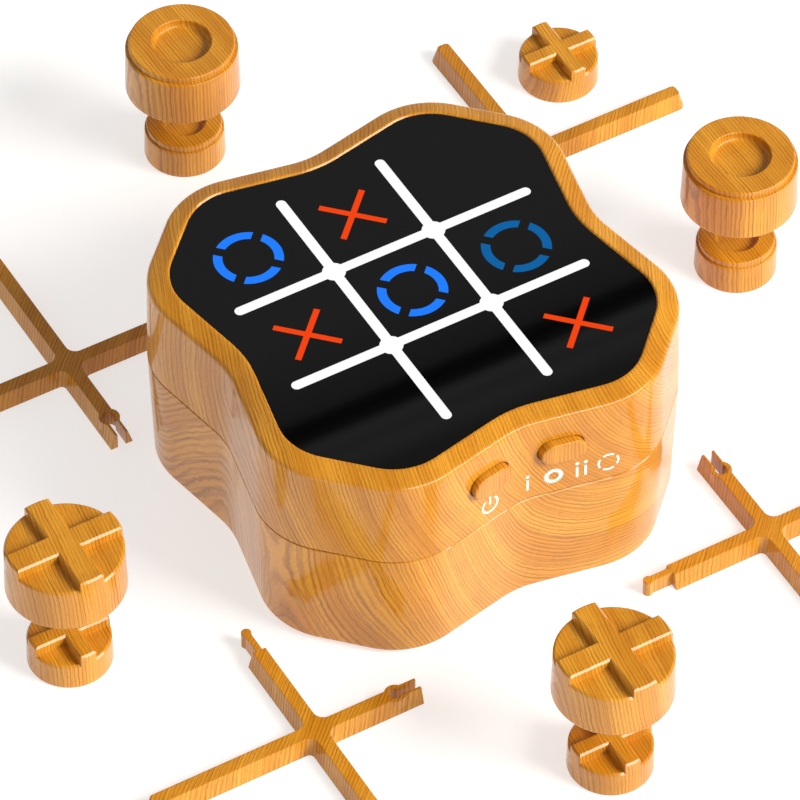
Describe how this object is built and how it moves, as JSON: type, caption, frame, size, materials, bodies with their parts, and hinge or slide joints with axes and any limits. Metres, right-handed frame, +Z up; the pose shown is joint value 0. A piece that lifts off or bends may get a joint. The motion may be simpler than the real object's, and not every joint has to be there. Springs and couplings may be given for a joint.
{
  "type": "tic tac toe set",
  "caption": "Tabletop noughts-and-crosses set: lobed wood-grain console with a lit touch screen and push buttons, snap-together grid crosses and stacking round nought and cross pieces.",
  "frame": {"origin": "middle of the console's base, on the surface that the whole set stands on", "axes": "+Z up, -Y towards the player, through the wall with the two push buttons, +X to the player's right"},
  "size_m": [0.2255, 0.242, 0.0576],
  "materials": {
    "lacquered_wood": "glossy lacquer over honey oak grain",
    "loose_wood": "satin lacquer over honey oak grain",
    "black_lens": "polished black",
    "white_inlay": "lit white",
    "blue_inlay": "lit blue",
    "dim_blue_inlay": "faintly lit blue",
    "red_inlay": "lit orange red",
    "clear_film": "clear",
    "white_plastic": "matte",
    "circuit_board": "solder mask",
    "led_resin": "clear resin",
    "chip_resin": "moulded",
    "screw_steel": "zinc plated",
    "switch_plastic": "matte",
    "cell_jacket": "plain printed sleeve",
    "contact_metal": "nickel plated",
    "door_plastic": "fine texture",
    "speaker_steel": "satin",
    "cone_paper": "matte",
    "foot_rubber": "matte"
  },
  "bodies": {
    "console": {"upper_shell": "lacquered_wood", "lower_shell": "lacquered_wood", "screen_lens": "black_lens", "grid_lines": "white_inlay", "bright_noughts": "blue_inlay", "dim_nought": "dim_blue_inlay", "red_crosses": "red_inlay", "touch_film": "clear_film", "light_baffle": "white_plastic", "led_board": "circuit_board", "cell_leds": "led_resin", "led_driver": "chip_resin", "case_screws": "screw_steel", "display_screws": "screw_steel", "board_screws": "screw_steel", "button_board_screws": "screw_steel", "press_switches": "chip_resin", "button_board": "circuit_board", "battery_cells": "cell_jacket", "contact_plates": "contact_metal", "contact_springs": "contact_metal", "speaker": "speaker_steel", "speaker_cone": "cone_paper", "main_board": "circuit_board", "controller_chip": "chip_resin", "board_connectors": "white_plastic", "rubber_feet": "foot_rubber"},
    "power_key": {"power_button": "lacquered_wood", "power_plunger": "switch_plastic"},
    "mode_key": {"mode_button": "lacquered_wood", "mode_plunger": "switch_plastic"},
    "door": {"battery_door": "door_plastic", "door_screw": "screw_steel"},
    "grid_cross_front": {"grid_cross_front": "loose_wood"},
    "grid_cross_right": {"grid_cross_right": "loose_wood"},
    "grid_cross_back": {"grid_cross_back": "loose_wood"},
    "grid_cross_left": {"grid_cross_left": "loose_wood"},
    "small_nought_back": {"small_nought_back": "loose_wood"},
    "large_nought_back": {"large_nought_back": "loose_wood"},
    "small_nought_right": {"small_nought_right": "loose_wood"},
    "large_nought_right": {"large_nought_right": "loose_wood"},
    "small_cross_left": {"small_cross_left": "loose_wood"},
    "large_cross_left": {"large_cross_left": "loose_wood"},
    "small_cross_front": {"small_cross_front": "loose_wood"},
    "large_cross_front": {"large_cross_front": "loose_wood"},
    "small_cross_back": {"small_cross_back": "loose_wood"}
  },
  "joints": [
    {"name": "power_button_press", "type": "slide", "parent": "console", "child": "power_key", "axis": [0, 1, 0], "range_m": [0, 0.0012], "stiffness_N_per_m": 800, "springref_m": -0.0004},
    {"name": "mode_button_press", "type": "slide", "parent": "console", "child": "mode_key", "axis": [0, 1, 0], "range_m": [0, 0.0012], "stiffness_N_per_m": 800, "springref_m": -0.0004},
    {"name": "battery_door_lift_off", "type": "slide", "parent": "console", "child": "door", "axis": [0, 0, -1], "range_m": [0, 0.02]},
    {"name": "grid_cross_front_lift", "type": "slide", "parent": "console", "child": "grid_cross_front", "axis": [0, 0, 1], "range_m": [0, 0.03]},
    {"name": "grid_cross_right_lift", "type": "slide", "parent": "console", "child": "grid_cross_right", "axis": [0, 0, 1], "range_m": [0, 0.03]},
    {"name": "grid_cross_back_lift", "type": "slide", "parent": "console", "child": "grid_cross_back", "axis": [0, 0, 1], "range_m": [0, 0.03]},
    {"name": "grid_cross_left_lift", "type": "slide", "parent": "console", "child": "grid_cross_left", "axis": [0, 0, 1], "range_m": [0, 0.03]},
    {"name": "small_nought_back_lift", "type": "slide", "parent": "console", "child": "small_nought_back", "axis": [0, 0, 1], "range_m": [0, 0.02]},
    {"name": "large_nought_back_lift", "type": "slide", "parent": "console", "child": "large_nought_back", "axis": [0, 0, 1], "range_m": [-0.0225, 0.03]},
    {"name": "small_nought_right_lift", "type": "slide", "parent": "console", "child": "small_nought_right", "axis": [0, 0, 1], "range_m": [0, 0.02]},
    {"name": "large_nought_right_lift", "type": "slide", "parent": "console", "child": "large_nought_right", "axis": [0, 0, 1], "range_m": [-0.0231, 0.03]},
    {"name": "small_cross_left_lift", "type": "slide", "parent": "console", "child": "small_cross_left", "axis": [0, 0, 1], "range_m": [0, 0.02]},
    {"name": "large_cross_left_lift", "type": "slide", "parent": "console", "child": "large_cross_left", "axis": [0, 0, 1], "range_m": [-0.0252, 0.03]},
    {"name": "small_cross_front_lift", "type": "slide", "parent": "console", "child": "small_cross_front", "axis": [0, 0, 1], "range_m": [0, 0.02]},
    {"name": "large_cross_front_lift", "type": "slide", "parent": "console", "child": "large_cross_front", "axis": [0, 0, 1], "range_m": [-0.026, 0.03]},
    {"name": "small_cross_back_lift", "type": "slide", "parent": "console", "child": "small_cross_back", "axis": [0, 0, 1], "range_m": [0, 0.03]}
  ]
}
